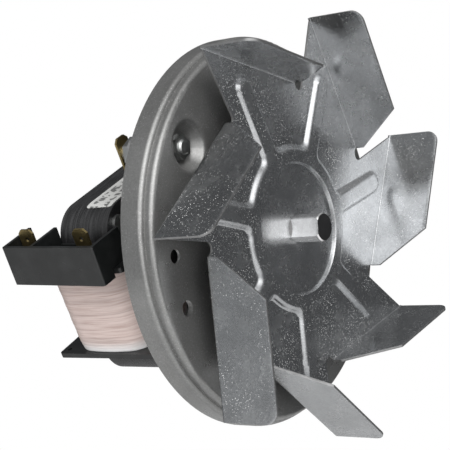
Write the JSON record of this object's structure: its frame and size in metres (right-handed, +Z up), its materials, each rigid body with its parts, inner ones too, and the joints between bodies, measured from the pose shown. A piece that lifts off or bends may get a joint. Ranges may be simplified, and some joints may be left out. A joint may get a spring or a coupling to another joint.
{
  "type": "combustion fan",
  "caption": "Shaded-pole motor behind a round pressed mounting plate, turning a bladed sheet-steel impeller that stands in front of the plate",
  "frame": {"origin": "where the shaft axis meets the front face of the mounting plate", "axes": "+Z up; the shaft lies along Y, with the impeller at -Y and the motor at +Y; the coil is at the -X side"},
  "size_m": [0.1437, 0.0968, 0.1462],
  "materials": {
    "galvanised_steel": "bright galvanised sheet with fine speckle",
    "plate_steel": "dull aluminised sheet",
    "turned_steel": "turned bright",
    "zinc_steel": "zinc plated",
    "bracket_alloy": "as pressed",
    "black_laminations": "black varnish over laminations",
    "bare_laminations": "ground",
    "cast_aluminium": "as cast",
    "copper": "bare copper",
    "winding_copper": "enamelled wire",
    "coil_yarn": "pale tape over the winding",
    "black_plastic": "moulded",
    "brass": "dull brass",
    "bronze": "sintered bronze",
    "felt": "oiled felt",
    "fibre": "hard fibre",
    "label_paper": "blank"
  },
  "bodies": {
    "motor_and_plate": {"mounting_plate": "plate_steel", "stator_core": "black_laminations", "coil_limb": "black_laminations", "core_rivets": "zinc_steel", "shading_rings": "copper", "coil_bobbin": "black_plastic", "coil_winding": "winding_copper", "coil_tape": "coil_yarn", "terminal_housing": "black_plastic", "terminal_tab_rear": "brass", "terminal_tab_front": "brass", "front_bracket": "bracket_alloy", "rear_bracket": "bracket_alloy", "front_bush": "bronze", "rear_bush": "bronze", "front_oil_felt": "felt", "rear_oil_felt": "felt", "front_felt_cap": "zinc_steel", "rear_felt_cap": "zinc_steel", "bracket_spacers": "zinc_steel", "bracket_screws": "zinc_steel", "bracket_nuts": "zinc_steel", "motor_studs": "zinc_steel", "ear_nuts": "zinc_steel", "mounting_nuts": "zinc_steel", "earth_tab": "brass", "rating_label": "label_paper"},
    "rotor": {"impeller": "galvanised_steel", "impeller_hub": "turned_steel", "motor_shaft": "turned_steel", "rotor_core": "bare_laminations", "rotor_end_rings": "cast_aluminium", "thrust_washers": "fibre"}
  },
  "joints": [
    {"name": "rotor_spin", "type": "hinge", "parent": "motor_and_plate", "child": "rotor", "pos_m": [0, 0, 0], "axis": [0, 1, 0], "continuous": true}
  ]
}
